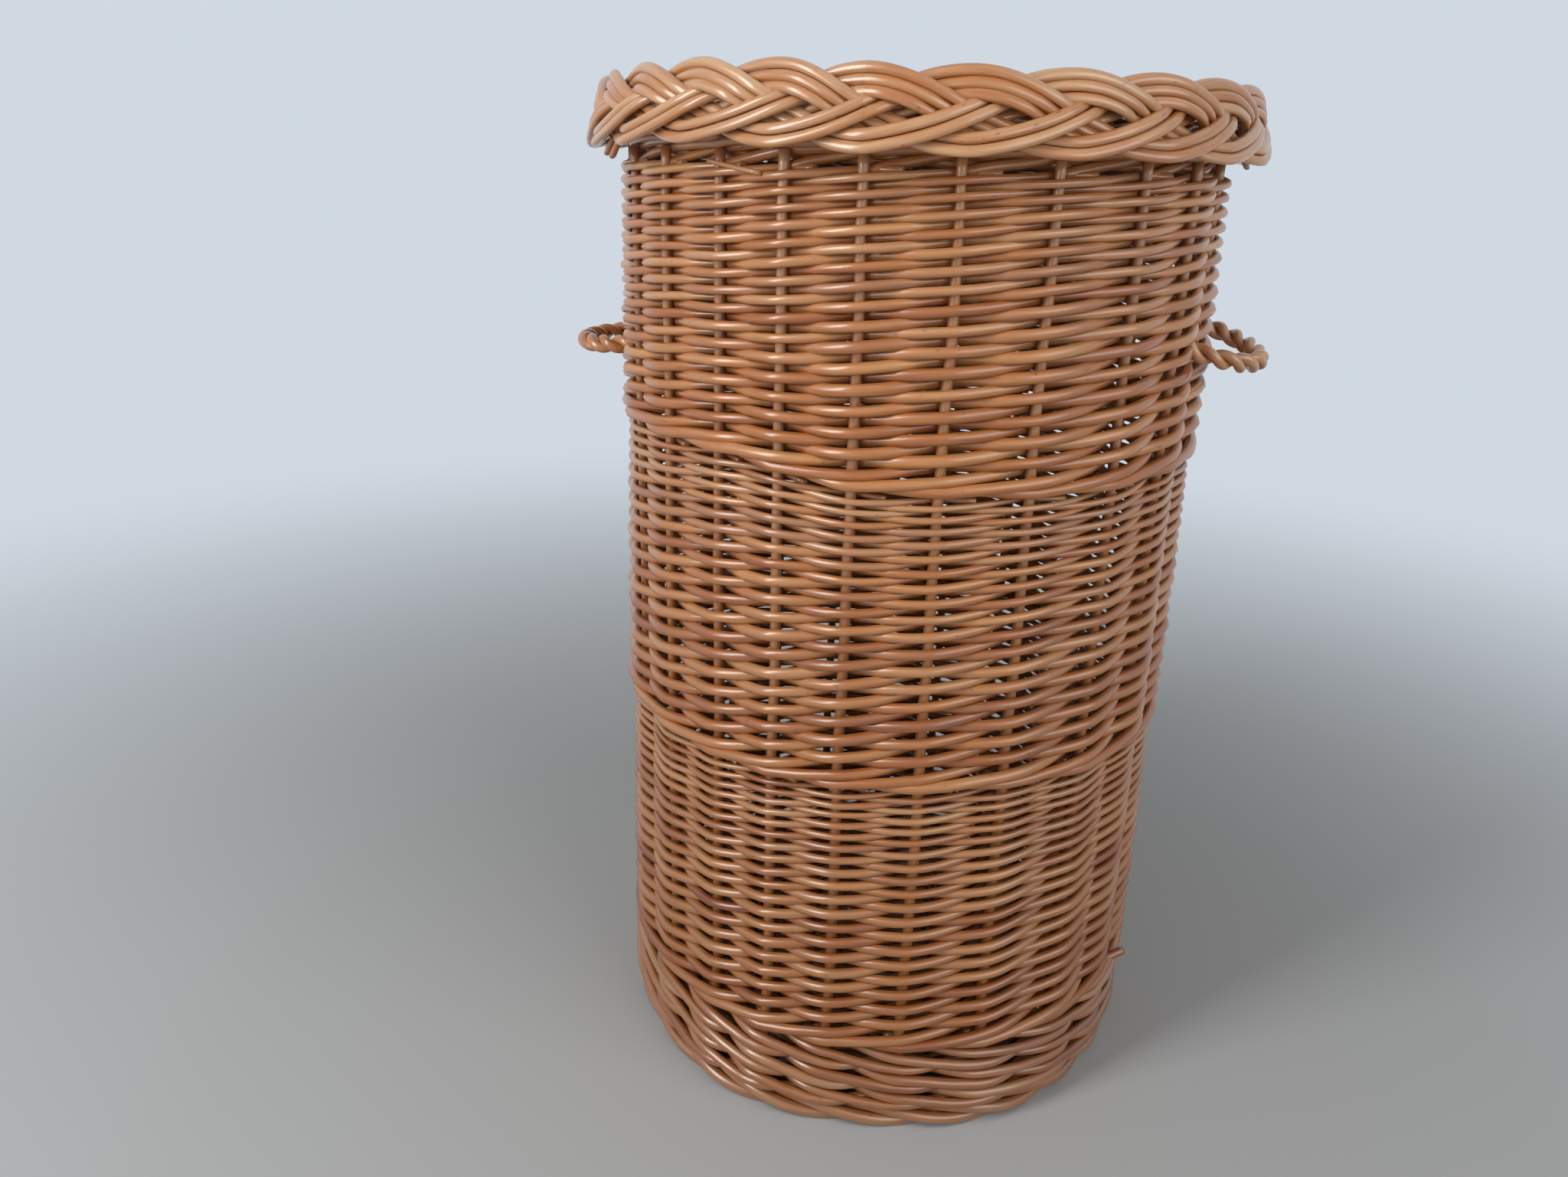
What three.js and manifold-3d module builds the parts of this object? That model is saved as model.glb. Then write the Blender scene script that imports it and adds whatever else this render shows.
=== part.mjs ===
// Tall round willow basket with a lift-off lid.
// Millimetres, +Z up, the origin on the floor under the middle, a stake at +X and a handle towards -X.

import * as THREE from "three";
import { mergeVertices } from "three/addons/utils/BufferGeometryUtils.js";
import Module from "manifold-3d";

const wasm = await Module();
wasm.setup();

// Stakes: the uprights of the wall, on a circle that widens a little towards the mouth
const STAKE_COUNT = 23;
const STAKE_DIAMETER = 6.5;
const STAKE_RADIUS_AT_FOOT = 181;
const STAKE_RADIUS_AT_MOUTH = 186;
const STAKE_BEND_RADIUS = 9;
const STAKE_RISE_HEIGHT = 3;

// Foot: a rope of three rods on the floor, and rounds of thick waling above it
const FOOT_ROD_DIAMETER = 8.2;
const FOOT_FLAT_DEPTH = 0.5;
const WALE_HEIGHT = 47;
const WALE_ROUNDS = 3;
const WALE_GROOVE_SHARE = 0.3;

// Siding: three bands of weave, each with thick butts at its bottom and thin tips at its top
const LOWER_BAND_HEIGHT = 192;
const MIDDLE_BAND_HEIGHT = 185;
const UPPER_BAND_HEIGHT = 171;
const BUTT_DIAMETER = 6.6;
const TIP_DIAMETER = 3.6;

// Depth of weave halfway between its stakes or spokes, as a share of its depth at them
const SLACK_DEPTH_SHARE = 0.45;

// Border: a rope of three rods rolled round the mouth. Its rods and the waling's are thicker than the butts.
const THICK_ROD_EXTRA_WIDTH = 0.8;

// Base: sticks crossed in the middle, which fan out into spokes through a woven disc
const BASE_STICKS_EACH_WAY = 4;
const BASE_STICK_DIAMETER = 8;
const BASE_THICKNESS = 14;
const BASE_CROWN_HEIGHT = 6;

// Lid: the same cross on a smaller scale, domed, inside a plaited rim that hangs over the border
const LID_STICKS_EACH_WAY = 3;
const LID_STICK_DIAMETER = 7;
const LID_THICKNESS = 12;
const LID_CROWN_HEIGHT = 9;

// Plait: three ribbons of rods laid side by side, over and under each other round the lid
const PLAIT_ROD_DIAMETER = 5.2;
const PLAIT_SWING_HEIGHT = 13.2;
const PLAIT_CROSSING_DEPTH = 6.75;
const PLAIT_CROSSING_SHARPNESS_SHARE = 0.22;
const PLAIT_HANG_DEPTH = 11;
const PLAIT_CLEARANCE = 4;
const PLAIT_RIBBONS = 3;
const PLAIT_PERIODS = 8;
const PLAIT_TURN_SHARE = 0.18;

// Handles: two rods twisted into a drooping half oval at each side. The left one is lower and more level.
const HANDLE_ROD_DIAMETER = 6.2;
const RIGHT_HANDLE_BELOW_BORDER = 103;
const RIGHT_HANDLE_DROOP_HEIGHT = 15;
const LEFT_HANDLE_BELOW_BORDER = 127;
const LEFT_HANDLE_DROOP_HEIGHT = 3;
const HANDLE_REACH = 56;
const HANDLE_LEG_LENGTH = 20;
const HANDLE_LEG_SHARE = 0.12;
const HANDLE_BAYS = 2;
const HANDLE_TWISTS = 6;

// Clearances: between pieces that touch, and past the faces of a cut
const GAP = 0.3;
const OVERRUN = 5;

// Shares of a stick's diameter, for its place in the cross and its way out of it
const STICK_SPACING_SHARE = 1.15;
const PIERCED_HEIGHT_SHARE = 1.5;
const THREADED_HEIGHT_SHARE = 0.62;
const SPOKE_BEND_SHARE = 3.2;
const SPOKE_END_SHARE = 1.2;

// Half the width of a rod's outer flat in a three-rod rope, as a share of a third of a turn
const RODS_IN_ROPE = 3;
const ROPE_FLAT_SHARE = 0.19;

// Outline of a ribbon of three rods, ridged outside and flat inside, as shares of a rod's diameter
const RODS_IN_RIBBON = 3;
const RIBBON_SHARES = [
  [1.35, -0.35],
  [1.2, 0.45],
  [0.5, 0.28],
  [0, 0.5],
  [-0.5, 0.28],
  [-1.2, 0.45],
  [-1.35, -0.35],
];

// Facets
const STAKE_SIDES = 5;
const STAKE_BEND_STEPS = 2;
const STICK_SIDES = 5;
const LEVEL_DISC_SEGMENTS = 24;
const FOOT_STEPS_PER_STROKE = 2;
const BORDER_STEPS_PER_STROKE = 2;
const PLAIT_STEPS_PER_PERIOD = 10;
const HANDLE_SIDES = 5;
const HANDLE_STEPS_PER_TWIST = 5;
const HOLE_SEGMENTS = 8;

const TURN = 2 * Math.PI;
const BAY = TURN / STAKE_COUNT;
const UP = new THREE.Vector3(0, 0, 1);

const thickRod = BUTT_DIAMETER + THICK_ROD_EXTRA_WIDTH;
const bands = [
  { name: "siding_lower", height: LOWER_BAND_HEIGHT },
  { name: "siding_middle", height: MIDDLE_BAND_HEIGHT },
  { name: "siding_upper", height: UPPER_BAND_HEIGHT },
];

// Heights, from the floor up
const footRopeHeight = ropeReach(FOOT_ROD_DIAMETER) - FOOT_FLAT_DEPTH;
const footRopeTop = footRopeHeight + ropeReach(FOOT_ROD_DIAMETER);
const waleBottom = footRopeTop + GAP;
const waleTop = waleBottom + WALE_HEIGHT;
const baseHeight = footRopeTop + GAP + BASE_THICKNESS / 2;
const sidingTop = bands.reduce((top, band) => top + GAP + band.height, waleTop);
const borderHeight = sidingTop + STAKE_RISE_HEIGHT + ropeReach(thickRod);
const borderTop = borderHeight + ropeReach(thickRod);
const ribbonWidth = RODS_IN_RIBBON * PLAIT_ROD_DIAMETER;
const plaitHeight = borderTop - PLAIT_HANG_DEPTH + PLAIT_SWING_HEIGHT + ribbonWidth / 2;

// Handles, their middles halfway between stakes, as nearly opposite each other as the stakes allow
const handles = [
  {
    name: "right",
    bay: -1 / 2,
    height: borderHeight - RIGHT_HANDLE_BELOW_BORDER,
    droop: RIGHT_HANDLE_DROOP_HEIGHT,
  },
  {
    name: "left",
    bay: Math.floor(STAKE_COUNT / 2) + 1 / 2,
    height: borderHeight - LEFT_HANDLE_BELOW_BORDER,
    droop: LEFT_HANDLE_DROOP_HEIGHT,
  },
];

// Radii, each from the piece that it lies inside or outside of
const legEnd = STAKE_RADIUS_AT_FOOT - STAKE_BEND_RADIUS - STAKE_DIAMETER / 2;
const baseRadius = legEnd - GAP;
const plaitDepth = plaitSwell() + ribbonBack();
const plaitInner = STAKE_RADIUS_AT_MOUTH + ropeRadius(thickRod) + PLAIT_CLEARANCE;
const plaitRadius = plaitInner + plaitDepth;
const lidRadius = plaitInner - GAP;

// Circle of the stakes' centres at a height
function stakeRadius(z) {
  return THREE.MathUtils.mapLinear(z, 0, borderHeight, STAKE_RADIUS_AT_FOOT, STAKE_RADIUS_AT_MOUTH);
}

function polar(radius, angle, z) {
  return new THREE.Vector3(radius * Math.cos(angle), radius * Math.sin(angle), z);
}

function outward(point) {
  return new THREE.Vector3(point.x, point.y, 0).normalize();
}

function counted(count, make) {
  return Array.from({ length: count }, (_, i) => make(i));
}

// Closed solid through rings of points. A loop joins its last ring to its first, turned by some places.
function loft(rings, loop, shift) {
  const count = rings[0].length;
  const index = [];
  for (let i = 0; i < rings.length - (loop ? 0 : 1); i++) {
    const wraps = i === rings.length - 1;
    const next = wraps ? 0 : (i + 1) * count;
    const turned = wraps ? shift : 0;
    for (let j = 0; j < count; j++) {
      const k = (j + 1) % count;
      const here = i * count + j;
      const beside = i * count + k;
      const across = next + ((k + turned) % count);
      const ahead = next + ((j + turned) % count);
      index.push(here, beside, across, here, across, ahead);
    }
  }
  if (!loop) {
    const last = (rings.length - 1) * count;
    for (let j = 1; j < count - 1; j++) {
      index.push(0, j + 1, j, last, last + j, last + j + 1);
    }
  }
  const geometry = new THREE.BufferGeometry().setFromPoints(rings.flat());
  geometry.setIndex(index);
  return geometry;
}

// Section carried along a path: its points are [sideways, along the reference direction]
function sweep({ path, reference, section, loop = false, shift = 0 }) {
  const rings = path.map((point, i) => {
    const before = path[i - 1] ?? (loop ? path[path.length - 1] : null);
    const after = path[i + 1] ?? (loop ? path[0] : null);
    const tangent = new THREE.Vector3();
    if (before) tangent.add(point.clone().sub(before).normalize());
    if (after) tangent.add(after.clone().sub(point).normalize());
    tangent.normalize();
    const sideways = reference(point).cross(tangent).normalize();
    const along = tangent.clone().cross(sideways);
    return section(i).map(([a, b]) => point.clone().addScaledVector(sideways, a).addScaledVector(along, b));
  });
  return loft(rings, loop, shift);
}

function roundSection(width, height, sides) {
  return counted(sides, (j) => {
    const angle = ((j + 1 / 2) / sides) * TURN;
    return [(width / 2) * Math.cos(angle), (height / 2) * Math.sin(angle)];
  });
}

// Weave round stakes or spokes: its full profile at each of them, and its slack one halfway between
function wovenRing(full, slack, count) {
  const rings = counted(2 * count, (i) => {
    const profile = i % 2 ? slack : full;
    return profile.map(([radius, height]) => polar(radius, (-i / (2 * count)) * TURN, height));
  });
  return loft(rings, true, 0);
}

// Profile of [radius, height] pairs turned about the basket's axis, with a corner at angle zero
function revolve(profile, segments) {
  const outline = [...profile, profile[0]].map(([radius, height]) => new THREE.Vector2(radius, height));
  const geometry = new THREE.LatheGeometry(outline, segments);
  geometry.rotateX(TURN / 4);
  geometry.rotateZ(TURN / 4);
  return geometry;
}

function toManifold(geometry) {
  const bare = geometry.clone();
  bare.deleteAttribute("normal");
  bare.deleteAttribute("uv");
  const merged = mergeVertices(bare);
  const mesh = new wasm.Mesh({
    numProp: merged.attributes.position.itemSize,
    vertProperties: merged.attributes.position.array,
    triVerts: Uint32Array.from(merged.index.array),
  });
  return new wasm.Manifold(mesh);
}

function cut(geometry, cutters) {
  const result = cutters.reduce((left, cutter) => left.subtract(toManifold(cutter)), toManifold(geometry));
  const mesh = result.getMesh();
  const trimmed = new THREE.BufferGeometry();
  trimmed.setAttribute("position", new THREE.BufferAttribute(mesh.vertProperties, mesh.numProp));
  trimmed.setIndex(new THREE.BufferAttribute(mesh.triVerts, 1));
  return trimmed;
}

function add(parent, name, geometry, material) {
  const faceted = geometry.toNonIndexed();
  faceted.computeVertexNormals();
  const mesh = new THREE.Mesh(faceted, material);
  mesh.name = name;
  parent.add(mesh);
}

// Radius of a rope of three touching rods, to the edges of its flats
function ropeRadius(rod) {
  return rod / Math.sqrt(RODS_IN_ROPE) + rod / 2;
}

// Height of the same rope above its middle, to a flat that faces up
function ropeReach(rod) {
  return ropeRadius(rod) * Math.cos((ROPE_FLAT_SHARE * TURN) / RODS_IN_ROPE);
}

// Rope laid in a ring, a stroke to each stake. As the angle grows, its outer strokes run up or down.
function ropeRing({ radius, height, rod, stepsPerStroke, runsUp }) {
  const steps = STAKE_COUNT * stepsPerStroke;
  const lobe = TURN / RODS_IN_ROPE;
  const direction = runsUp ? -1 : 1;
  const section = (i) =>
    counted(RODS_IN_ROPE, (k) => k).flatMap((k) =>
      [-ROPE_FLAT_SHARE, ROPE_FLAT_SHARE].map((share) => {
        const angle = TURN / 2 + ((direction * i) / stepsPerStroke + k + share) * lobe;
        return [ropeRadius(rod) * Math.cos(angle), ropeRadius(rod) * Math.sin(angle)];
      }),
    );
  const strokesOver = STAKE_COUNT % RODS_IN_ROPE;
  return sweep({
    path: counted(steps, (i) => polar(radius, (i / steps) * TURN, height)),
    reference: outward,
    section,
    loop: true,
    shift: 2 * (runsUp ? RODS_IN_ROPE - strokesOver : strokesOver),
  });
}

// The foot rope is cut flat where it stands on the floor
function footRope() {
  const rope = ropeRing({
    radius: STAKE_RADIUS_AT_FOOT,
    height: footRopeHeight,
    rod: FOOT_ROD_DIAMETER,
    stepsPerStroke: FOOT_STEPS_PER_STROKE,
    runsUp: false,
  });
  const width = 2 * (STAKE_RADIUS_AT_FOOT + ropeRadius(FOOT_ROD_DIAMETER) + OVERRUN);
  const floor = new THREE.BoxGeometry(width, width, OVERRUN);
  floor.translate(0, 0, -OVERRUN / 2);
  return cut(rope, [floor]);
}

// A stake has a short leg at the base, a bend, and a long rise through the wall
function stakeRod(angle, diameter, top) {
  const bendTop = baseHeight + STAKE_BEND_RADIUS;
  const bendCentre = stakeRadius(bendTop) - STAKE_BEND_RADIUS;
  const bend = counted(STAKE_BEND_STEPS + 1, (i) => {
    const turned = ((i / STAKE_BEND_STEPS) * TURN) / 4;
    const radius = bendCentre + STAKE_BEND_RADIUS * Math.sin(turned);
    return polar(radius, angle, bendTop - STAKE_BEND_RADIUS * Math.cos(turned));
  });
  return sweep({
    path: [polar(legEnd, angle, baseHeight), ...bend, polar(stakeRadius(top), angle, top)],
    reference: () => polar(1, angle + TURN / 4, 0),
    section: () => roundSection(diameter, diameter, STAKE_SIDES),
  });
}

// Channels that the stakes run in, a clearance wider than the stakes
function stakeChannels() {
  const top = sidingTop + OVERRUN;
  return counted(STAKE_COUNT, (i) => stakeRod(i * BAY, STAKE_DIAMETER + 2 * GAP, top));
}

// Profile of the wall with a share of its depth. Its outlines are [height, thickness beyond the stakes].
function wallProfile(outer, inner, share) {
  const half = STAKE_DIAMETER / 2;
  return [
    ...outer.map(([z, thickness]) => [stakeRadius(z) + share * (half + thickness), z]),
    ...inner.map(([z, thickness]) => [stakeRadius(z) - share * (half + thickness), z]).reverse(),
  ];
}

// Waling, ridged outside. Its bottom leaves room inside for the bends of the stakes.
function footWale(channels) {
  const outer = counted(2 * WALE_ROUNDS + 1, (i) => {
    const groove = i % 2 ? 0 : WALE_GROOVE_SHARE;
    return [waleBottom + (i / (2 * WALE_ROUNDS)) * WALE_HEIGHT, thickRod * (1 - groove)];
  });
  const bendTop = baseHeight + STAKE_BEND_RADIUS + STAKE_DIAMETER / 2;
  const besideBend = -STAKE_DIAMETER - GAP;
  const inner = [
    [waleBottom, besideBend],
    [bendTop, besideBend],
    [bendTop, thickRod],
    [waleTop, thickRod],
  ];
  return cut(revolve(wallProfile(outer, inner, 1), STAKE_COUNT), channels);
}

function sidingBand(bottom, height, cutters) {
  const face = [
    [bottom, BUTT_DIAMETER],
    [bottom + height, TIP_DIAMETER],
  ];
  const slack = wallProfile(face, face, SLACK_DEPTH_SHARE);
  return cut(wovenRing(wallProfile(face, face, 1), slack, STAKE_COUNT), cutters);
}

// A disc is { sticksEachWay, stick, thickness, crown, radius, height, level }, a low cone with its height
// at the rim. Where it is level, its weave is beaten flat between the spokes.
function crownHeight(disc, radius) {
  return disc.height + disc.crown * (1 - radius / disc.radius);
}

function crossHalf(disc) {
  return (disc.sticksEachWay * disc.stick * STICK_SPACING_SHARE) / 2;
}

// A stick lies straight in the cross and bends out to a spoke at each end, its middle swollen or flattened
function discStick(disc, number, alongY, middleShare, grown = 0) {
  const place = number - (disc.sticksEachWay - 1) / 2;
  const spoke = (place * TURN) / (4 * disc.sticksEachWay);
  const bend = crossHalf(disc) + disc.stick * SPOKE_BEND_SHARE;
  const end = disc.radius - disc.stick * SPOKE_END_SHARE + 2 * grown;
  const half = [
    [crossHalf(disc), place * disc.stick * STICK_SPACING_SHARE],
    [bend * Math.cos(spoke), bend * Math.sin(spoke)],
    [end * Math.cos(spoke), end * Math.sin(spoke)],
  ];
  const plan = [...half.map(([x, y]) => [-x, y]).reverse(), ...half];
  const width = disc.stick + 2 * grown;
  const geometry = sweep({
    path: plan.map(([x, y]) => new THREE.Vector3(x, y, crownHeight(disc, Math.hypot(x, y)))),
    reference: () => UP.clone(),
    section: (i) => {
      const inCross = i === half.length - 1 || i === half.length;
      return roundSection(width, disc.stick * (inCross ? middleShare : 1) + 2 * grown, STICK_SIDES);
    },
  });
  geometry.rotateZ(alongY ? TURN / 4 : 0);
  return geometry;
}

function addDisc(parent, name, disc) {
  const threaded = (number, grown) => discStick(disc, number, true, THREADED_HEIGHT_SHARE, grown);
  const pierced = (number, grown) => discStick(disc, number, false, PIERCED_HEIGHT_SHARE, grown);
  const slots = counted(disc.sticksEachWay, (k) => threaded(k, GAP));
  const channels = [...slots, ...counted(disc.sticksEachWay, (k) => pierced(k, GAP))];
  for (let k = 0; k < disc.sticksEachWay; k++) {
    add(parent, `${name}_pierced_stick_${k + 1}`, cut(pierced(k), slots), stakeWillow);
    add(parent, `${name}_threaded_stick_${k + 1}`, threaded(k), stakeWillow);
  }
  const radii = [crossHalf(disc) * Math.SQRT2 + GAP, disc.radius];
  const profile = (share) => [
    ...radii.map((radius) => [radius, crownHeight(disc, radius) - (share * disc.thickness) / 2]),
    ...radii.map((radius) => [radius, crownHeight(disc, radius) + (share * disc.thickness) / 2]).reverse(),
  ];
  const weave = disc.level
    ? revolve(profile(1), LEVEL_DISC_SEGMENTS)
    : wovenRing(profile(1), profile(SLACK_DEPTH_SHARE), 4 * disc.sticksEachWay);
  add(parent, `${name}_weave`, cut(weave, channels), sidingWillow);
}

// Distance of a ribbon's middle outside the plait's own circle, by its phase
function plaitOffset(phase) {
  return PLAIT_CROSSING_DEPTH * (PLAIT_CROSSING_SHARPNESS_SHARE * Math.sin(4 * phase) - Math.sin(2 * phase));
}

function plaitPhase(step) {
  return (step / PLAIT_STEPS_PER_PERIOD) * TURN;
}

// Furthest that a ribbon's middle lies inside the plait's own circle
function plaitSwell() {
  return Math.max(...counted(PLAIT_STEPS_PER_PERIOD, (i) => -plaitOffset(plaitPhase(i))));
}

// Distance from a ribbon's middle to its flat inner face
function ribbonBack() {
  return PLAIT_ROD_DIAMETER * Math.max(...RIBBON_SHARES.map(([, depth]) => -depth));
}

// A ribbon swings up and down, and passes over the others on its way in from each edge
function plaitRibbon(number) {
  const path = counted(PLAIT_PERIODS * PLAIT_STEPS_PER_PERIOD, (i) => {
    const phase = plaitPhase(i);
    const angle = (phase - ((number - PLAIT_TURN_SHARE) / PLAIT_RIBBONS) * TURN) / PLAIT_PERIODS;
    return polar(plaitRadius + plaitOffset(phase), angle, plaitHeight + PLAIT_SWING_HEIGHT * Math.sin(phase));
  });
  const section = () => RIBBON_SHARES.map(([a, b]) => [a * PLAIT_ROD_DIAMETER, b * PLAIT_ROD_DIAMETER]);
  return sweep({ path, reference: outward, section, loop: true });
}

// Middle line of a handle, not yet turned to its place: straight legs through the wall, then half an oval
function handleCentre(handle, share) {
  const legAngle = (HANDLE_BAYS / 2) * BAY;
  const legRadius = stakeRadius(handle.height) - STAKE_DIAMETER / 2 - BUTT_DIAMETER;
  const leg = Math.min(share, 1 - share, HANDLE_LEG_SHARE) / HANDLE_LEG_SHARE;
  const oval = THREE.MathUtils.clamp((share - HANDLE_LEG_SHARE) / (1 - 2 * HANDLE_LEG_SHARE), 0, 1);
  const turned = ((oval - 1 / 2) * TURN) / 2;
  const out = HANDLE_LEG_LENGTH * leg + (HANDLE_REACH - HANDLE_LEG_LENGTH) * Math.cos(turned);
  return new THREE.Vector3(
    legRadius * Math.cos(legAngle) + out,
    legRadius * Math.sin(legAngle) * Math.sin(turned),
    handle.height - (handle.droop * out) / HANDLE_REACH,
  );
}

// Half the distance between the twisted rods, with room for the flats between its steps
function handleTwistRadius() {
  return (HANDLE_ROD_DIAMETER / 2 + GAP) / Math.cos(TURN / 2 / HANDLE_STEPS_PER_TWIST);
}

function handleRod(handle, rod) {
  const steps = HANDLE_TWISTS * HANDLE_STEPS_PER_TWIST;
  const path = counted(steps + 1, (i) => {
    const share = i / steps;
    const ahead = handleCentre(handle, (i + 1 / 2) / steps);
    const tangent = ahead.sub(handleCentre(handle, (i - 1 / 2) / steps)).normalize();
    const sideways = UP.clone().cross(tangent).normalize();
    const along = tangent.clone().cross(sideways);
    const twist = (share * HANDLE_TWISTS + rod / 2) * TURN;
    return handleCentre(handle, share)
      .addScaledVector(sideways, handleTwistRadius() * Math.cos(twist))
      .addScaledVector(along, handleTwistRadius() * Math.sin(twist));
  });
  const geometry = sweep({
    path,
    reference: () => UP.clone(),
    section: () => roundSection(HANDLE_ROD_DIAMETER, HANDLE_ROD_DIAMETER, HANDLE_SIDES),
  });
  geometry.rotateZ(handle.bay * BAY);
  return geometry;
}

// Hole for one leg of a handle, right through the wall. Two of its flats face the stakes beside it.
function handleHole(handle, end) {
  const halfStep = TURN / 2 / HOLE_SEGMENTS;
  const radius = (handleTwistRadius() + HANDLE_ROD_DIAMETER / 2 + GAP) / Math.cos(halfStep);
  const length = HANDLE_LEG_LENGTH + 2 * OVERRUN;
  const hole = new THREE.CylinderGeometry(radius, radius, length, HOLE_SEGMENTS);
  hole.rotateY(halfStep);
  hole.translate(0, length / 2 - OVERRUN, 0);
  const direction = new THREE.Vector3(HANDLE_REACH, 0, -handle.droop).normalize();
  hole.applyQuaternion(new THREE.Quaternion().setFromUnitVectors(new THREE.Vector3(0, 1, 0), direction));
  const inside = handleCentre(handle, end);
  hole.translate(inside.x, inside.y, inside.z);
  hole.rotateZ(handle.bay * BAY);
  return hole;
}

// Materials: thin rods of the siding, plain stakes, and the thick rods of foot, border, plait and handles
const sidingWillow = new THREE.MeshStandardMaterial({ color: 0xb97c4c, roughness: 0.55, metalness: 0 });
const stakeWillow = new THREE.MeshStandardMaterial({ color: 0xbe8656, roughness: 0.5, metalness: 0 });
const borderWillow = new THREE.MeshStandardMaterial({ color: 0xc08450, roughness: 0.42, metalness: 0 });

// The basket
const basket = new THREE.Group();
const channels = stakeChannels();
add(basket, "foot_rope", footRope(), borderWillow);
add(basket, "foot_wale", footWale(channels), borderWillow);
addDisc(basket, "base", {
  sticksEachWay: BASE_STICKS_EACH_WAY,
  stick: BASE_STICK_DIAMETER,
  thickness: BASE_THICKNESS,
  crown: BASE_CROWN_HEIGHT,
  radius: baseRadius,
  height: baseHeight,
  level: true,
});
const stakeTop = sidingTop + STAKE_RISE_HEIGHT - GAP;
for (let i = 0; i < STAKE_COUNT; i++) {
  add(basket, `stake_${i + 1}`, stakeRod(i * BAY, STAKE_DIAMETER, stakeTop), stakeWillow);
}
let bandBottom = waleTop + GAP;
for (const { name, height } of bands) {
  const held = handles.filter((handle) => bandBottom < handle.height && handle.height < bandBottom + height);
  const holes = held.flatMap((handle) => [handleHole(handle, 0), handleHole(handle, 1)]);
  add(basket, name, sidingBand(bandBottom, height, [...channels, ...holes]), sidingWillow);
  bandBottom += height + GAP;
}
const border = ropeRing({
  radius: STAKE_RADIUS_AT_MOUTH,
  height: borderHeight,
  rod: thickRod,
  stepsPerStroke: BORDER_STEPS_PER_STROKE,
  runsUp: true,
});
add(basket, "rolled_border", border, borderWillow);
for (const handle of handles) {
  add(basket, `handle_${handle.name}_rod_1`, handleRod(handle, 0), borderWillow);
  add(basket, `handle_${handle.name}_rod_2`, handleRod(handle, 1), borderWillow);
}

// The lid: its disc rests on the border, inside the plait
const lid = new THREE.Group();
const lidDisc = {
  sticksEachWay: LID_STICKS_EACH_WAY,
  stick: LID_STICK_DIAMETER,
  thickness: LID_THICKNESS,
  crown: LID_CROWN_HEIGHT,
  radius: lidRadius,
  height: 0,
  level: false,
};
lidDisc.height = borderTop + GAP + LID_THICKNESS / 2 - crownHeight(lidDisc, STAKE_RADIUS_AT_MOUTH);
addDisc(lid, "lid", lidDisc);
for (let number = 0; number < PLAIT_RIBBONS; number++) {
  add(lid, `plait_ribbon_${number + 1}`, plaitRibbon(number), borderWillow);
}
basket.add(lid);

export default basket;
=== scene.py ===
"""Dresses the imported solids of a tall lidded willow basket: every rod of the weave is a round rod of its own.

Sizes are in millimetres, as on a maker's drawing, and meshes are made in metres. A bay is the space from one
stake to the next, and places round the wall are counted in bays: stake number k stands at k bays.
"""

import bpy
import numpy as np
from mathutils import Matrix, Vector


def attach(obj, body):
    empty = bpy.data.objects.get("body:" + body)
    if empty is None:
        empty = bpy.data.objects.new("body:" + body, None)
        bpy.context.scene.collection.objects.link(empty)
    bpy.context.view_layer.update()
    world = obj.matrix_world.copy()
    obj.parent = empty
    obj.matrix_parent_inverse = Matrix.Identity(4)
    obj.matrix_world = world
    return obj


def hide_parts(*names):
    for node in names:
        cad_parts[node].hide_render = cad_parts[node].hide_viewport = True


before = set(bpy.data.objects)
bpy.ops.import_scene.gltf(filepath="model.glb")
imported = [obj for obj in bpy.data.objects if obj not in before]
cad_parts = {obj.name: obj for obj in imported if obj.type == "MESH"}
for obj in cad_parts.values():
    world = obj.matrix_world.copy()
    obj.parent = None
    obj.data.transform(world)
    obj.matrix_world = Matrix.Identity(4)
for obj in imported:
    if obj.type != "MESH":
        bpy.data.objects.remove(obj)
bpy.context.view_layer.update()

MM = 0.001
TURN = 2 * np.pi

# Wall: stakes on a circle that widens a little towards the mouth
STAKES = 23
BAY = TURN / STAKES
STAKE_DIAMETER = 6.9
STAKE_RADIUS_AT_FOOT = 181.0
STAKE_RADIUS_AT_MOUTH = 186.0
STAKE_TOP = 620.0
BORDER_HEIGHT = 622.3

# Bands of siding: bottom and top edge, strokes of each rod, rod diameters at the butt and the tip
BANDS = {
    "siding_lower": (63.6, 255.0, 38, 6.5, 3.5),
    "siding_middle": (256.0, 440.4, 36, 6.6, 3.5),
    "siding_upper": (441.4, 613.2, 32, 6.6, 4.2),
}

# How far a siding rod's middle is from a stake's, as a share of half their two thicknesses, and how
# straight it runs from stake to stake (0 is a sine wave and 1 a zigzag)
SIDING_PRESS = 0.95
SIDING_STRAIGHTNESS = 0.993

# Stakes' legs under the base: height, length, bend, and where the upright begins
LEG_HEIGHT = 23.6
LEG = 22.0
LEG_BEND = 9.0
UPRIGHT_FROM = 40.0

# Foot
WALE_BOTTOM, WALE_TOP = 16.4, 63.4
WALE_ROD = 6.5
WALE_STROKES = 7.75
FOOT_ROD = 8.2
FOOT_ROPE_HEIGHT = 8.3

# Border
BORDER_ROD = 6.0
BORDER_STROKES = 5.2

# Wall's unevenness: by how many degrees round the wall the stakes at the front's right lean from bottom to
# top, how far the middle seam climbs, and where (in degrees right of the front's middle) and how far the foot
# is pushed out
RIGHT_LEAN = -3.0
SEAM_CLIMB = 13.0
FOOT_PUSHES = ((-27.0, 7.0), (28.0, 5.0))
FOOT_PUSH_WIDTH = 22.0
FOOT_PUSH_TOP = 110.0

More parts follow.
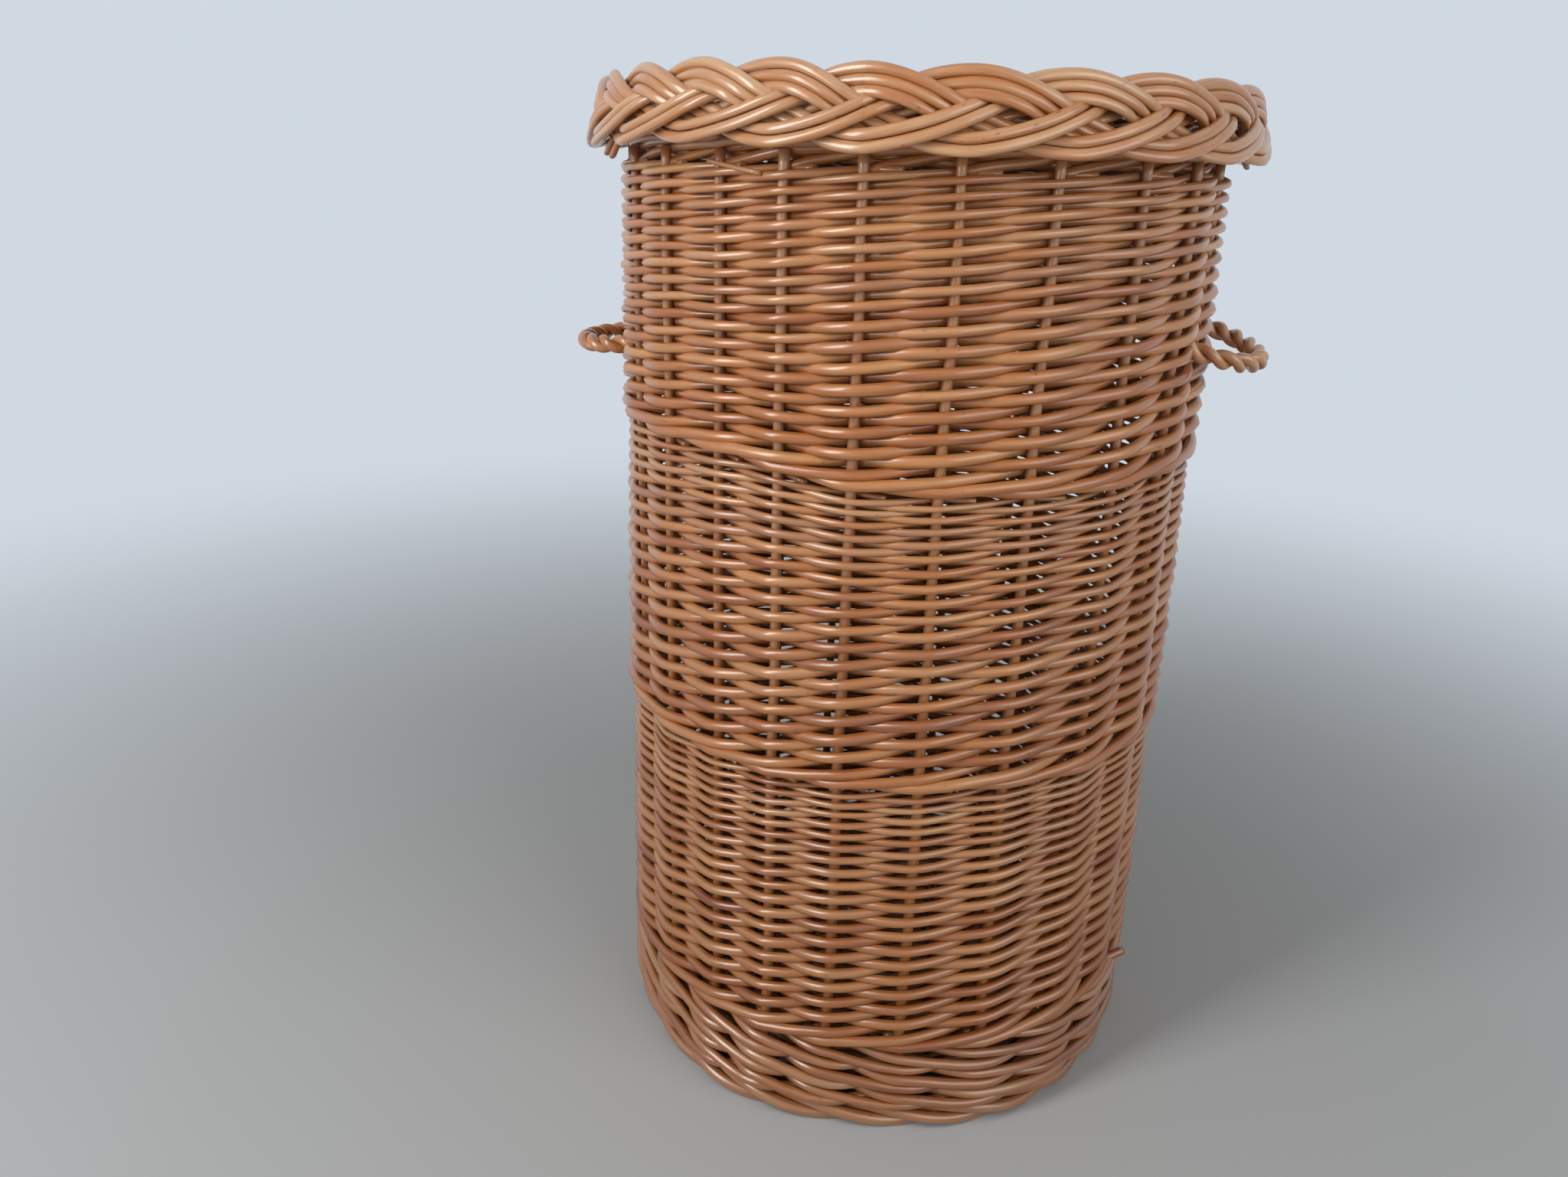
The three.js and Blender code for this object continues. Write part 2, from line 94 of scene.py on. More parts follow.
# Plait round the lid: four ribbons that go up and down six times, a quarter of a period behind each other.
# The middle is the height at which its lean moves nothing, and the start is where a ribbon is lowest.
PLAIT_RADIUS = 202.5
PLAIT_LEAN = 0.28
PLAIT_MIDDLE = 640.6
PLAIT_START = -8.2
PLAIT_PERIOD = 60.0
PLAIT_ROD = 5.9
PLAIT_PITCH = 5.5
RIBBONS = 4

# How the loose lid sits: the place where it is raised, in degrees right of the front's middle, by how much,
# and how far the front's left of it is turned
LID_RAISED_AT, LID_RAISED_WIDTH = -38.0, 22.0
LID_RAISED = 3.4
LID_TURNED = 2.0

# Two level rounds behind the plait, on the edge of the lid's disc
ROUND_HEIGHTS = (643.6, 649.2)
ROUND_INSET = 15.5

# Handles: the bay of the middle, the height at the wall, the droop, and how much the leg on the side to
# which the bays are counted stands above the middle and the other leg below it
HANDLES = {
    "handle_right": (-0.5, 519.3, 15.0, 3.4),
    "handle_left": (11.5, 495.3, 3.0, 1.0),
}
HANDLE_REACH = 56.0
HANDLE_LEG = 20.0
HANDLE_LEG_SHARE = 0.12
HANDLE_LEG_X, HANDLE_LEG_Y = 168.8, 47.3
HANDLE_ROD = 6.3
HANDLE_CORE = 3.0
HANDLE_TWISTS = 6

# Ends that stick out of the weave: degrees right of the front's middle, distance from the axis and height
# at their root and tip, thickness, tone
ENDS = {
    "basket": [
        (-36.5, 190.5, 613.2, -25.2, 193.5, 607.8, 2.6, 1.0),
        (65.0, 185.0, 69.5, 69.0, 196.5, 73.5, 6.4, 0.0),
    ],
    "lid": [
        (60.0, 199.0, 626.0, 64.5, 198.0, 617.2, 3.6, 0.0),
        (-62.5, 199.0, 624.0, -66.5, 197.5, 615.0, 4.4, 0.0),
        (-60.0, 198.0, 622.0, -63.5, 196.5, 613.0, 4.2, 0.1),
    ],
}

draws = np.random.default_rng(23)


def unit(vectors):
    return vectors / np.linalg.norm(vectors, axis=-1, keepdims=True)


def polar(radius, angle, z):
    """Points at a distance from the axis, an angle and a height."""
    radius, angle, z = np.broadcast_arrays(radius, angle, z)
    return np.stack([radius * np.cos(angle), radius * np.sin(angle), z], -1)


def unrolled(points):
    """Distance from the axis, angle and height of points."""
    x, y, z = points[..., 0], points[..., 1], points[..., 2]
    return np.hypot(x, y), np.arctan2(y, x), z


def outward_of(points):
    """Level directions away from the axis."""
    return unit(points * [1, 1, 0])


def ease(x, low, high):
    """Smooth step: 0 below low, 1 above high, and 3t^2 - 2t^3 between them."""
    t = np.clip((x - low) / (high - low), 0, 1)
    return t * t * (3 - 2 * t)


def waves(x, seed, size, longest):
    """Smooth unevenness: five sines of x, each 1.7 times shorter and 1.45 times weaker than the last."""
    dice = np.random.default_rng(seed)
    total = np.zeros(np.shape(x))
    for k in range(5):
        length = longest / 1.7**k
        total = total + np.sin(TURN * (np.asarray(x) / length + dice.random())) / 1.45**k
    return size * total / 1.8


class Bundle:
    """Round rods gathered into one mesh. Each rod is a circle of its own radius carried along a path."""

    def __init__(self):
        self.points, self.quads, self.triangles = [], [], []
        self.quad_lay, self.triangle_lay, self.rod = [], [], []
        self.count = 0

    def add(self, paths, radii, reference, sides=8, closed=False, tones=None, squash=None):
        """Adds rods whose rings are path + r (cos a * side + sin a * along), with side square to the path
        and to the reference direction. paths is (rods, steps, 3). A closed rod joins its ends, and the
        others get a flat cut at each end."""
        paths = np.asarray(paths, float)
        rods, steps = paths.shape[:2]
        radii = np.broadcast_to(radii, (rods, steps))
        reference = np.broadcast_to(reference, paths.shape)
        if closed:
            tangent = unit(np.roll(paths, -1, 1) - np.roll(paths, 1, 1))
        else:
            tangent = unit(np.gradient(paths, axis=1))
        side = unit(np.cross(reference, tangent))
        along = np.cross(tangent, side)
        around = TURN * np.arange(sides) / sides
        rings = paths[:, :, None] + radii[:, :, None, None] * (
            np.cos(around)[:, None] * side[:, :, None] + np.sin(around)[:, None] * along[:, :, None]
        )
        if squash is not None:
            rings = squash(rings)
        length = np.linalg.norm(np.diff(paths, axis=1), axis=-1)
        length = np.concatenate([np.zeros((rods, 1)), np.cumsum(length, 1)], 1)
        if tones is None:
            tones = draws.random(rods)
        shade = draws.random(rods)
        share = np.broadcast_to(np.linspace(0, 1, steps), (rods, steps))

        index = self.count + np.arange(rods * steps * sides).reshape(rods, steps, sides)
        first, last = index[:, 0], index[:, -1]
        ahead = np.roll(index, -1, 1)
        if not closed:
            index, ahead = index[:, :-1], ahead[:, :-1]
        quads = np.stack([index, np.roll(index, -1, 2), np.roll(ahead, -1, 2), ahead], -1)
        self.quads.append(quads.reshape(-1, 4))
        u = np.broadcast_to(length[:, : quads.shape[1], None], quads.shape[:3])
        v = np.broadcast_to(np.arange(sides) / sides, quads.shape[:3])
        far = u + np.gradient(length, axis=1)[:, : quads.shape[1], None]
        lay = np.stack(
            [np.stack([u, u, far, far], -1), np.stack([v, v + 1 / sides, v + 1 / sides, v], -1)], -1
        )
        self.quad_lay.append(lay.reshape(-1, 4, 2))

        points = rings.reshape(-1, 3)
        values = np.stack(
            [np.broadcast_to(part, (rods, steps, sides)) for part in
             (tones[:, None, None], shade[:, None, None], share[:, :, None], np.zeros((1, 1, 1)))], -1
        ).reshape(-1, 4)
        if not closed:
            ends = paths[:, [0, -1]].reshape(-1, 3)
            middle = self.count + len(points) + np.arange(2 * rods).reshape(rods, 2)
            start_cap = np.stack(
                [np.broadcast_to(middle[:, :1], first.shape), np.roll(first, -1, 1), first], -1
            )
            end_cap = np.stack(
                [np.broadcast_to(middle[:, 1:], last.shape), last, np.roll(last, -1, 1)], -1
            )
            caps = np.concatenate([start_cap, end_cap], 1).reshape(-1, 3)
            self.triangles.append(caps)
            self.triangle_lay.append(np.zeros((len(caps), 3, 2)))
            points = np.concatenate([points, ends])
            cut = np.stack(
                np.broadcast_arrays(tones[:, None], shade[:, None], np.array([[0.0, 1.0]]), 1.0), -1
            )
            values = np.concatenate([values, cut.reshape(-1, 4)])
        self.points.append(points)
        self.rod.append(values)
        self.count += len(points)
        return self

    def make(self, name, material, body, slot, nodes, warp=None):
        """Puts the rods into one mesh, in metres, with the UV map "lay" (millimetres along, share around)
        and the colour attribute "rod" (tone, shade, share of the length, cut end)."""
        points = np.concatenate(self.points)
        if warp is not None:
            points = warp(points)
        quads = np.concatenate(self.quads)
        loops = [quads.ravel()]
        lay = [np.concatenate(self.quad_lay).reshape(-1, 2)]
        starts = [4 * np.arange(len(quads))]
        smooth = [np.ones(len(quads), bool)]
        if self.triangles:
            triangles = np.concatenate(self.triangles)
            loops.append(triangles.ravel())
            lay.append(np.concatenate(self.triangle_lay).reshape(-1, 2))
            starts.append(4 * len(quads) + 3 * np.arange(len(triangles)))
            smooth.append(np.zeros(len(triangles), bool))
        mesh = bpy.data.meshes.new(name)
        mesh.vertices.add(len(points))
        mesh.vertices.foreach_set("co", (points * MM).astype(np.float32).ravel())
        loops = np.concatenate(loops)
        mesh.loops.add(len(loops))
        mesh.loops.foreach_set("vertex_index", loops.astype(np.int32))
        starts = np.concatenate(starts)
        mesh.polygons.add(len(starts))
        mesh.polygons.foreach_set("loop_start", starts.astype(np.int32))
        mesh.polygons.foreach_set("use_smooth", np.concatenate(smooth))
        mesh.update(calc_edges=True)
        mesh.uv_layers.new(name="lay").data.foreach_set("uv", np.concatenate(lay).astype(np.float32).ravel())
        rod = mesh.color_attributes.new("rod", "FLOAT_COLOR", "POINT")
        rod.data.foreach_set("color", np.concatenate(self.rod).astype(np.float32).ravel())
        mesh.validate()
        mesh.materials.append(material)
        piece = bpy.data.objects.new(name, mesh)
        bpy.context.scene.collection.objects.link(piece)
        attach(piece, body)
        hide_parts(*nodes)
        return piece


# Materials

class Wire:
    """A shader value. Arithmetic on it adds Math nodes to its tree."""

    def __init__(self, nodes, socket):
        self.nodes, self.socket = nodes, socket

    def _math(self, operation, first, second):
        return self.nodes.node("ShaderNodeMath", settings={"operation": operation}, i0=first, i1=second)

    def __add__(self, other):
        return self._math("ADD", self, other)

    def __radd__(self, other):
        return self._math("ADD", other, self)

    def __sub__(self, other):
        return self._math("SUBTRACT", self, other)

    def __rsub__(self, other):
        return self._math("SUBTRACT", other, self)

    def __mul__(self, other):
        return self._math("MULTIPLY", self, other)

    def __truediv__(self, other):
        return self._math("DIVIDE", self, other)

    def beside(self, output):
        """Another output of the same node."""
        return Wire(self.nodes, self.socket.node.outputs[output])


class Nodes:
    """A tree of shader nodes. node() adds any node, sets or wires its inputs by their names, or by i and
    their number, and gives one of its outputs."""

    def __init__(self, tree):
        self.tree = tree

    def node(self, kind, output=0, settings=None, **inputs):
        node = self.tree.nodes.new(kind)
        for key, value in (settings or {}).items():
            setattr(node, key, value)
        for key, value in inputs.items():
            numbered = key[0] == "i" and key[1:].isdigit()
            slot = node.inputs[int(key[1:]) if numbered else key.replace("_", " ")]
            if isinstance(value, Wire):
                self.tree.links.new(value.socket, slot)
            else:
                slot.default_value = value
        return Wire(self, node.outputs[output])

    def ramp(self, value, *stops):
        """Colour ramp from (place, colour) pairs, straight between them."""
        colours = self.node("ShaderNodeValToRGB", i0=value)
        elements = colours.socket.node.color_ramp.elements
        while len(elements) < len(stops):
            elements.new(1.0)
        for element, (place, colour) in zip(elements, stops):
            element.position = place
            element.color = colour
        return colours

    def mix(self, share, first, second, blend="MIX"):
        """Colour between the first and the second."""
        settings = {"data_type": "RGBA", "blend_type": blend}
        return self.node("ShaderNodeMix", output=2, settings=settings, i0=share, i6=first, i7=second)

    def stretch(self, value, low, high, at_low, at_high, **settings):
        """Line from at_low to at_high while the value goes from low to high, and level outside them."""
        return self.node(
            "ShaderNodeMapRange", settings=settings, i0=value, i1=low, i2=high, i3=at_low, i4=at_high
        )


class Finish(Nodes):
    """A Principled material with constants on its sockets."""

    def __init__(self, name, **constants):
        self.material = bpy.data.materials.new(name)
        self.material.use_nodes = True
        super().__init__(self.material.node_tree)
        self.shader = next(node for node in self.tree.nodes if node.type == "BSDF_PRINCIPLED")
        for socket, value in constants.items():
            self.shader.inputs[socket.replace("_", " ")].default_value = value

    def feed(self, socket, wire):
        self.tree.links.new(wire.socket, self.shader.inputs[socket])


def linear(red, green, blue):
    """Screen colour of 0 to 255 as linear light."""
    share = np.array([red, green, blue]) / 255
    light = np.where(share <= 0.04045, share / 12.92, ((share + 0.055) / 1.055) ** 2.4)
    return (*light.tolist(), 1)


VARNISH = {"Coat_Roughness": 0.26, "Coat_IOR": 1.7, "Specular_IOR_Level": 0.15}
FADED = linear(196, 166, 134)
SPECK = linear(96, 52, 26)
# Painted shade near the floor: the colour the willow is multiplied by there
PAINTED_FLOOR_SHADE = linear(178, 160, 140)
CUT_END = linear(205, 170, 128)


def willow(name, pale, honey, deep, roughness, gloss, grey_tips=0.35):
    """Boiled brown willow under a thin varnish. Each rod has its own tone between deep and pale, fades
    towards its tip, and has fine lengthwise streaks, darker blotches and a pale cut end. Towards the floor
    it is darker with painted shade."""
    finish = Finish(name, Roughness=roughness, Coat_Weight=gloss, **VARNISH)
    rod = finish.node("ShaderNodeAttribute", settings={"attribute_name": "rod"})
    tone = finish.node("ShaderNodeSeparateColor", Color=rod)
    shade, share, cut = tone.beside(1), tone.beside(2), rod.beside("Alpha")
    lay = finish.node("ShaderNodeUVMap", settings={"uv_map": "lay"})
    along = finish.node("ShaderNodeSeparateXYZ", Vector=lay)
    around = along.beside(1) * TURN
    cosine = finish.node("ShaderNodeMath", settings={"operation": "COSINE"}, i0=around)
    sine = finish.node("ShaderNodeMath", settings={"operation": "SINE"}, i0=around)

    def skin(length, width, offset, detail=2.0):
        """Noise on a rod's skin, stretched to a length in mm along it. A larger width is finer round it."""
        place = finish.node(
            "ShaderNodeCombineXYZ",
            X=along / length + tone * 91.7,
            Y=cosine * width + shade * 37.3,
            Z=sine * width + offset,
        )
        return finish.node("ShaderNodeTexNoise", Vector=place, Scale=1.0, Detail=detail, Roughness=0.55)

    streaks = skin(16.0, 2.2, 0.0)
    blotches = skin(70.0, 0.55, 7.0)
    specks = skin(5.0, 1.3, 19.0, detail=1.0)
    warmth = tone * 0.34 + blotches * 0.66 + streaks * 0.30 - 0.20
    colour = finish.ramp(warmth, (0.06, deep), (0.42, honey), (0.92, pale))
    colour = finish.mix(share * grey_tips * shade, colour, FADED)
    colour = finish.mix(finish.stretch(specks, 0.70, 0.80, 0.0, 0.55), colour, SPECK)
    # Painted shade: the colour is multiplied darker by height, 0.55 of the shade colour at the floor and none
    # from 0.5 m up
    place = finish.node("ShaderNodeTexCoord", output="Object")
    height = finish.node("ShaderNodeSeparateXYZ", output=2, Vector=place)
    colour = finish.mix(finish.stretch(height, 0.0, 0.5, 0.55, 0.0), colour, PAINTED_FLOOR_SHADE, blend="MULTIPLY")
    colour = finish.mix(cut * 0.8, colour, CUT_END)
    finish.feed("Base Color", colour)
    finish.feed("Roughness", roughness - 0.1 + streaks * 0.2)
    bump = finish.node("ShaderNodeBump", Strength=0.22, Distance=0.0006, Height=streaks + specks * 0.35)
    finish.feed("Normal", bump)
    return finish.material


SIDING = willow(
    "siding_willow", linear(208, 155, 99), linear(173, 105, 50), linear(132, 58, 18), 0.48, 0.9
)
THICK = willow(
    "border_willow", linear(215, 181, 141), linear(180, 116, 63), linear(138, 68, 24), 0.42, 1.0, 0.2
)
STAKE = willow(
    "stake_willow", linear(208, 156, 103), linear(178, 112, 59), linear(142, 71, 27), 0.46, 0.9
)


# The wall's lattice

# How far each stake has strayed from even spacing, in degrees. Those from 13 to 22 stand in the front.
STAKE_STRAY = np.radians([
    1.2, 0.3, -0.4, 0.3, -0.2, 0.4, -0.5, 0.1, 0.5, -0.3, 0.2, 0.2,
    0.9, 2.2, 3.0, 2.6, 0.1, -1.9, -2.2, -1.2, 1.6, 2.0, 2.4,
])
CAMERA_AZIMUTH = np.radians(2.65)
VIEW_ANGLE = -TURN / 4 + CAMERA_AZIMUTH


def turned_from_view(angle):
    """Degrees to the right of the middle of the front."""
    return np.degrees((angle - VIEW_ANGLE + TURN / 2) % TURN - TURN / 2)


def wall_angle(bays):
    """Angle of a place in the wall, which shares in the straying of the stakes on both sides."""
    bays = np.asarray(bays, float)
    low = np.floor(bays).astype(int)
    part = bays - low
    return bays * BAY + STAKE_STRAY[low % STAKES] * (1 - part) + STAKE_STRAY[(low + 1) % STAKES] * part


def stake_radius(z):
    return STAKE_RADIUS_AT_FOOT + (STAKE_RADIUS_AT_MOUTH - STAKE_RADIUS_AT_FOOT) * z / BORDER_HEIGHT


def sag(angle, z):
    """Slow unevenness of the rows, in height: three waves, which die out at the edges of the wall."""
    swell = np.sin(3 * angle + z / 61) + 0.7 * np.sin(5 * angle - z / 43 + 2)
    swell = swell + 0.5 * np.sin(9 * angle + z / 29 + 4)
    return 0.75 * swell * ease(z, 90, 140) * (1 - ease(z, 560, 606))


def seam_climb(angle, z):
    """Climb of the middle seam over the left of the front, where the upper band was started."""
    turned = turned_from_view(angle)
    left = ease(-turned, 4, 42) * (1 - ease(-turned, 110, 165))
    return SEAM_CLIMB * left * ease(z, 300, 440) * (1 - ease(z, 441, 580))


def settle(points):
    """Moves the points of the wall as its rows have settled, and leans the stakes at the front's right."""
    radius, angle, z = unrolled(points)
    turned = turned_from_view(angle)
    right = ease(turned, 0, 45) * (1 - ease(turned, 90, 150))
    lean = np.radians(RIGHT_LEAN) * right * (z / BORDER_HEIGHT - 0.5)
    return polar(radius, angle + lean, z + sag(angle, z) + seam_climb(angle, z))


def splay(points):
    """Pushes the foot out in bell curves round it, less and less from its first rounds up."""
    radius, angle, z = unrolled(points)
    turned = turned_from_view(angle)
    push = sum(far * np.exp(-(((turned - place) / FOOT_PUSH_WIDTH) ** 2)) for place, far in FOOT_PUSHES)
    return polar(radius + push * (1 - ease(z, 20, FOOT_PUSH_TOP)), angle, z)


def settle_wall(points):
    """Settles the wall and splays its foot."""
    return splay(settle(points))


def add_ends(bundle, body):
    """Adds the short straight ends that stick out of the weave."""
    along = np.linspace(0, 1, 8)
    for turned, radius, z, far_turned, far_radius, far_z, thick, tone in ENDS[body]:
        angle = VIEW_ANGLE + np.radians(turned + (far_turned - turned) * along)
        path = polar(radius + (far_radius - radius) * along, angle, z + (far_z - z) * along)
        bundle.add(path[None], thick / 2, outward_of(path)[None], sides=10, tones=np.array([tone]))


def siding(name):
    """One band of siding. Rod j starts inside the wall, passes in front of two stakes, and then behind one
    and in front of one, climbing a row with each bay. Between stakes it runs straight, so its distance from
    their circle is press (stake + rod) / 2 times w + 0.25 (1 - w^2), where w = asin(s cos(pi b)) / asin(s),
    with the straightness s, is 1 in front of a stake and -1 behind it."""
    bottom, top, strokes, butt, tip = BANDS[name]
    steps_per_bay = 10
    bays = np.arange(-1.2 * steps_per_bay, (strokes + 0.4) * steps_per_bay + 0.5) / steps_per_bay
    share = np.clip(bays, 0, strokes) / strokes
    diameter = butt + (tip - butt) * ease(share, 0.15, 1.25) / ease(1.0, 0.15, 1.25)
    level = np.concatenate([[0], np.cumsum((diameter[1:] + diameter[:-1]) * np.diff(share))])
    level = level / level[-1] * (top - bottom - (butt + tip) / 2)
    swing = np.arcsin(SIDING_STRAIGHTNESS * np.cos(np.pi * (bays - 1))) / np.arcsin(SIDING_STRAIGHTNESS)
    swing = np.where(bays < 1, np.where(bays < 0, -1.05 * swing, 1.0), swing)
    swing = swing + 0.25 * (1 - swing**2)

    rods = np.arange(STAKES)[:, None]
    thick = (1 + draws.uniform(-0.03, 0.12, (STAKES, 1))) * diameter
    thick = thick * (1 + 0.03 * waves(bays + 7.3 * rods, 5, 1.0, 5.0))
    angle = wall_angle(rods + bays)
    thick = thick * (1 + 0.09 * ease(np.abs(turned_from_view(angle)), 30, 80))
    z = bottom + butt / 2 + level + 0.28 * waves(bays + 31.7 * rods, 11, 1.0, 3.1)
    out = SIDING_PRESS * (STAKE_DIAMETER + thick) / 2 * swing
    out = out + 0.3 * waves(bays + 17.9 * rods, 13, 1.0, 2.3)
    paths = polar(stake_radius(z) + out, angle, z)
    bundle = Bundle().add(paths, thick / 2, outward_of(paths), sides=8)
    return bundle.make(f"{name}_rods", SIDING, "basket", "siding_willow", [name], warp=settle_wall)


def stakes():
    """Upright rods. Each starts with a short level leg under the base and turns up in a quarter circle."""
    turning = np.linspace(0, TURN / 4, 7)[1:]
    upright = np.linspace(UPRIGHT_FROM, STAKE_TOP, 74)
    z = np.concatenate([[LEG_HEIGHT] * 2, LEG_HEIGHT + LEG_BEND * (1 - np.cos(turning)), upright])
    edge = stake_radius(LEG_HEIGHT + LEG_BEND)
    bend = edge - LEG_BEND + LEG_BEND * np.sin(turning)
    radius = np.concatenate([[edge - LEG, edge - LEG_BEND], bend, stake_radius(upright)])
    number = np.arange(STAKES)[:, None]
    height = z[None, :] / 100
    angle = wall_angle(number) + np.radians(0.22) * waves(height + 5.1 * number, 17, 1.0, 3.0)
    radius = radius + 0.3 * waves(height + 3.7 * number, 19, 1.0, 1.6)
    paths = polar(radius, angle, z)
    thick = STAKE_DIAMETER * (1.06 - 0.2 * z / STAKE_TOP + 0.04 * waves(height + 9.1 * number, 29, 1.0, 2.4))
    tangential = polar(1.0, angle + TURN / 4, 0.0)
    bundle = Bundle().add(paths, thick / 2, tangential, sides=10)
    nodes = [f"stake_{k + 1}" for k in range(STAKES)]
    return bundle.make("stakes", STAKE, "basket", "stake_willow", nodes, warp=settle_wall)


def wave_through(keys, bays):
    """Wave through key values at whole bays, with half a cosine from each to the next."""
    keys = np.asarray(keys, float)
    low = np.floor(bays).astype(int)
    part = (1 - np.cos(np.pi * (bays - low))) / 2
    return keys[low % len(keys)] * (1 - part) + keys[(low + 1) % len(keys)] * part


def foot_wale():
    """Waling: each rod runs down to the right, in front of two stakes and behind the third. Its height is
    pitch * (bays + shift), and the shift of -1/4, 1/4 and 0 spaces the strokes at a stake evenly."""
    bays = np.linspace(-1.0, WALE_STROKES + 0.45, 116)
    level = (bays + wave_through([-0.25, 0.25, 0.0], bays)).clip(0, WALE_STROKES) / WALE_STROKES
    thick = WALE_ROD * (1.04 - 0.08 * level) * (1 + draws.uniform(-0.10, 0.08, (STAKES, 1)))
    rods = np.arange(STAKES)[:, None]
    z = WALE_BOTTOM + WALE_ROD / 2 + level * (WALE_TOP - WALE_BOTTOM - WALE_ROD)
    z = z + 0.4 * waves(bays + 13.1 * rods, 31, 1.0, 3.3)
    out = (STAKE_DIAMETER + thick) / 2 * wave_through([1, 1, -1], bays)
    out = out + 0.4 * waves(bays + 5.9 * rods, 37, 1.0, 2.7)
    paths = polar(stake_radius(z) + out, wall_angle(rods - bays), z)
    # Random tones from the deeper three quarters of the range: the foot darker, partly as painted shade near
    # the floor
    tones = draws.uniform(0, 0.75, STAKES)
    bundle = Bundle().add(paths, thick / 2, outward_of(paths), sides=10, tones=tones)
    return bundle.make("foot_wale_rods", THICK, "basket", "border_willow", ["foot_wale"], warp=settle_wall)


def foot_rope():
    """Three rods laid round each other, 120 degrees to a bay, so that each runs into the next after a round
    of the foot. All three are one closed path, three rounds long."""
    steps = 12 * STAKES * 3
    bays = np.arange(steps) * (3 * STAKES) / steps
    lay = TURN / 2 + bays * TURN / 3
    core = FOOT_ROD / np.sqrt(3) * 1.02
    angle = bays * BAY
    paths = polar(STAKE_RADIUS_AT_FOOT + core * np.sin(lay), angle, FOOT_ROPE_HEIGHT + core * np.cos(lay))
    thick = FOOT_ROD * (1 + 0.05 * waves(bays, 41, 1.0, 23.0))

    def worn_flat(rings):
        rings[..., 2] = np.maximum(rings[..., 2], 0.0)
        return rings

    outward = outward_of(paths)[None]
    bundle = Bundle().add(paths[None], thick[None] / 2, outward, sides=12, closed=True, squash=worn_flat)
    return bundle.make("foot_rope_rods", THICK, "basket", "border_willow", ["foot_rope"], warp=splay)


def rolled_border():
    """Each stake's top bends up to the right, behind the next stake, in front of two, and ends low inside.
    Its distance from the stakes' circle and its height are lines through key values, with rounded bends."""
    keys = [0, 0.3, 0.85, 1.5, 2.2, 3, 3.6, 4.1, BORDER_STROKES]
    bays = np.linspace(0, BORDER_STROKES, 63)
    out = np.interp(bays, keys, [-3.5, -4.6, -5.8, -2.0, 3.8, 4.0, -3.5, -9.0, -10.0])
    z = np.interp(bays, keys, [610.5, 614.0, 619.4, 621.8, 623.6, 626.0, 622.5, 618.4, 614.6])
    rounding = np.array([1, 2, 3, 2, 1]) / 9
    out, z = (np.convolve(np.pad(line, 2, "edge"), rounding, "valid") for line in (out, z))
    rods = np.arange(STAKES)[:, None]
    thick = BORDER_ROD * (1 + draws.uniform(-0.1, 0.1, (STAKES, 1))) * (1 - 0.12 * bays / BORDER_STROKES)
    height = z + 0.5 * waves(bays + 7.7 * rods, 43, 1.0, 2.9)
    radius = STAKE_RADIUS_AT_MOUTH + out + 0.4 * waves(bays + 3.3 * rods, 47, 1.0, 2.1)
    paths = polar(radius, wall_angle(rods + bays), height)
    bundle = Bundle().add(paths, thick / 2, outward_of(paths), sides=10)
    add_ends(bundle, "basket")
    return bundle.make("rolled_border_rods", STAKE, "basket", "border_willow", ["rolled_border"])


def closed_line(turned, keys, values, width):
    """Closed line through the key values of a period of the plait, rounded over a width in degrees."""
    fine = np.arange(-PLAIT_PERIOD, 2 * PLAIT_PERIOD, 0.25)
    rounding = np.hanning(4 * width + 1)
    line = np.convolve(np.interp(fine, keys, values, period=PLAIT_PERIOD), rounding / rounding.sum(), "same")
    return np.interp(turned % PLAIT_PERIOD, fine, line)


def rim_set(points):
    """Sets the plait as the loose lid wears it: leaning in at the top, and at the front's left higher and
    turned a little."""
    radius, angle, z = unrolled(points)
    turned = turned_from_view(angle)
    raised = LID_RAISED * np.exp(-(((turned - LID_RAISED_AT) / LID_RAISED_WIDTH) ** 2))
    along = np.radians(LID_TURNED) * ease(turned, -150, -90) * (1 - ease(turned, -24, -4))
    return polar(radius - PLAIT_LEAN * (z - PLAIT_MIDDLE), angle + along, z + raised)


def ribbon_height(turned):
    """Height of a ribbon's middle, by the degrees from its lowest point."""
    keys = [0, 5, 9.5, 13, 18, 23, 27, 31, 34.5, 38, 42, 47, 53]
    heights = [623.2, 626.8, 631.4, 636.2, 643.6, 649, 652, 652.9, 651, 646.8, 640, 631.4, 625.2]
    return closed_line(turned, keys, heights, 7)


def ribbon_out(turned):
    """How far a ribbon's middle is outside the plait's circle, by the degrees from its lowest point."""
    keys = [0, 5, 10, 14.5, 17, 20, 24, 27, 30, 34, 39.5, 42.5, 45, 50, 53.5, 57]
    outs = [2.6, 3.4, 3.9, 3.8, 2.2, -3.2, -3.6, -2, 1, 3.8, 3.6, -1.8, -3.8, -4.4, -3.4, -0.2]
    return closed_line(turned, keys, outs, 4)


